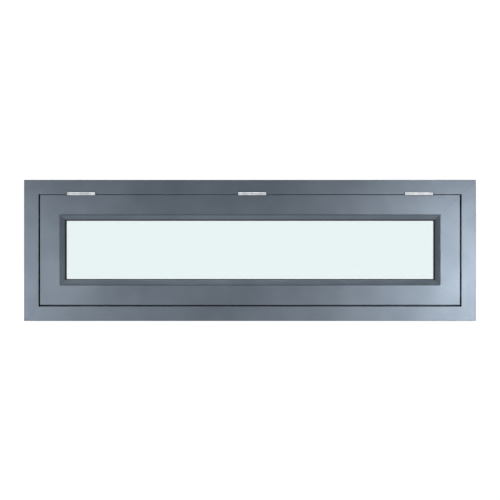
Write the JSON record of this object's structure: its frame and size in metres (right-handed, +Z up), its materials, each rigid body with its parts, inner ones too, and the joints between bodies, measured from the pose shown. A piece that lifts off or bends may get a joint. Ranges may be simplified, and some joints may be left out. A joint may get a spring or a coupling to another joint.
{
  "type": "top-hung window with crank",
  "caption": "Long low top-hung window: flush glazed sash hinged along the top of a mitred frame and pushed open by a crank with folding elbow arms.",
  "frame": {"origin": "middle of the underside of the sill, half way through the depth of the frame", "axes": "+Z up, +X along the width, -Y towards the outside (the face with the hinges and beads), +Y towards the room (the side with the crank)"},
  "size_m": [1.28, 0.1375, 0.4],
  "materials": {
    "frame_coating": "satin slate-grey powder coat on extruded aluminium",
    "cast_cleat": "bare die casting",
    "black_rubber": "matte extruded rubber",
    "pale_glass": "clear float glass with a pale cyan cast",
    "spacer_aluminium": "mill-finish folded strip",
    "block_plastic": "moulded",
    "hinge_aluminium": "bright silver anodised",
    "pin_steel": "ground stainless",
    "operator_coating": "satin slate-grey coat on a zinc casting",
    "knob_plastic": "moulded, fine grain",
    "bush_brass": "turned",
    "zinc_steel": "zinc-plated strip",
    "fastener_steel": "bright steel"
  },
  "bodies": {
    "frame": {"frame_corner_cleats": "cast_cleat", "frame_head": "frame_coating", "frame_left_jamb": "frame_coating", "frame_right_jamb": "frame_coating", "frame_sill": "frame_coating", "frame_stop_seal": "black_rubber", "hinge_frame_screws": "pin_steel", "left_hinge_frame_leaf": "hinge_aluminium", "left_hinge_pin": "pin_steel", "middle_hinge_frame_leaf": "hinge_aluminium", "middle_hinge_pin": "pin_steel", "operator_base": "operator_coating", "operator_base_screws": "fastener_steel", "right_hinge_frame_leaf": "hinge_aluminium", "right_hinge_pin": "pin_steel"},
    "sash": {"glass_spacer_bar": "spacer_aluminium", "glazing_bead_bottom": "frame_coating", "glazing_bead_left": "frame_coating", "glazing_bead_right": "frame_coating", "glazing_bead_top": "frame_coating", "hinge_sash_screws": "pin_steel", "inner_gasket": "black_rubber", "inner_pane": "pale_glass", "left_ball_stud": "fastener_steel", "left_hinge_sash_leaf": "hinge_aluminium", "left_sash_bracket": "zinc_steel", "middle_hinge_sash_leaf": "hinge_aluminium", "outer_gasket": "black_rubber", "outer_pane": "pale_glass", "right_ball_stud": "fastener_steel", "right_hinge_sash_leaf": "hinge_aluminium", "right_sash_bracket": "zinc_steel", "sash_bottom_rail": "frame_coating", "sash_bracket_screws": "fastener_steel", "sash_corner_cleats": "cast_cleat", "sash_left_stile": "frame_coating", "sash_right_stile": "frame_coating", "sash_top_rail": "frame_coating", "setting_blocks": "block_plastic"},
    "operator_case": {"gear_case": "operator_coating", "gear_case_cover": "operator_coating", "gear_case_screws": "fastener_steel", "trunnion_pins": "fastener_steel", "spindle_bushes": "bush_brass", "arm_studs": "fastener_steel"},
    "crank": {"worm_spindle": "fastener_steel", "crank_arm": "operator_coating", "crank_clamp_screw": "fastener_steel", "knob_axle": "fastener_steel"},
    "knob": {"crank_knob": "knob_plastic"},
    "right_arm": {"right_arm": "zinc_steel", "right_gear_sector": "zinc_steel", "right_elbow_rivet": "fastener_steel"},
    "right_link": {"right_link": "zinc_steel"},
    "left_arm": {"left_arm": "zinc_steel", "left_gear_sector": "zinc_steel", "left_elbow_rivet": "fastener_steel"},
    "left_link": {"left_link": "zinc_steel"}
  },
  "joints": [
    {"name": "sash_swing", "type": "hinge", "parent": "frame", "child": "sash", "pos_m": [0, -0.032, 0.36], "axis": [-1, 0, 0], "range_deg": [0, 30]},
    {"name": "case_rock", "type": "hinge", "parent": "frame", "child": "operator_case", "pos_m": [0, 0.034, 0.072], "axis": [-1, 0, 0], "range_deg": [0, 15.5]},
    {"name": "crank_turn", "type": "hinge", "parent": "operator_case", "child": "crank", "pos_m": [0, 0.0321, 0.08029], "axis": [0, -0.9747, -0.2234], "range_deg": [-10, 1460]},
    {"name": "knob_spin", "type": "hinge", "parent": "crank", "child": "knob", "pos_m": [0.0383, 0.07437, 0.057], "axis": [0, 0.9747, 0.2234], "continuous": true},
    {"name": "right_arm_swing", "type": "hinge", "parent": "operator_case", "child": "right_arm", "pos_m": [0.03486, 0.0321, 0.08029], "axis": [0, 0.2234, -0.9747], "range_deg": [0, 15.5]},
    {"name": "right_link_fold", "type": "hinge", "parent": "right_arm", "child": "right_link", "pos_m": [0.33032, 0.034, 0.072], "axis": [0, -0.2234, 0.9747], "range_deg": [0, 30.5]},
    {"name": "left_arm_swing", "type": "hinge", "parent": "operator_case", "child": "left_arm", "pos_m": [-0.03486, 0.0321, 0.08029], "axis": [0, -0.2234, 0.9747], "range_deg": [0, 15.5]},
    {"name": "left_link_fold", "type": "hinge", "parent": "left_arm", "child": "left_link", "pos_m": [-0.33032, 0.034, 0.072], "axis": [0, 0.2234, -0.9747], "range_deg": [0, 30.5]}
  ],
  "couplings": [
    {"joint": "case_rock", "follows": "sash_swing", "ratio": 0.5},
    {"joint": "crank_turn", "follows": "sash_swing", "ratio": 48},
    {"joint": "right_arm_swing", "follows": "sash_swing", "ratio": 0.5},
    {"joint": "right_link_fold", "follows": "sash_swing", "ratio": 1},
    {"joint": "left_arm_swing", "follows": "sash_swing", "ratio": 0.5},
    {"joint": "left_link_fold", "follows": "sash_swing", "ratio": 1}
  ]
}
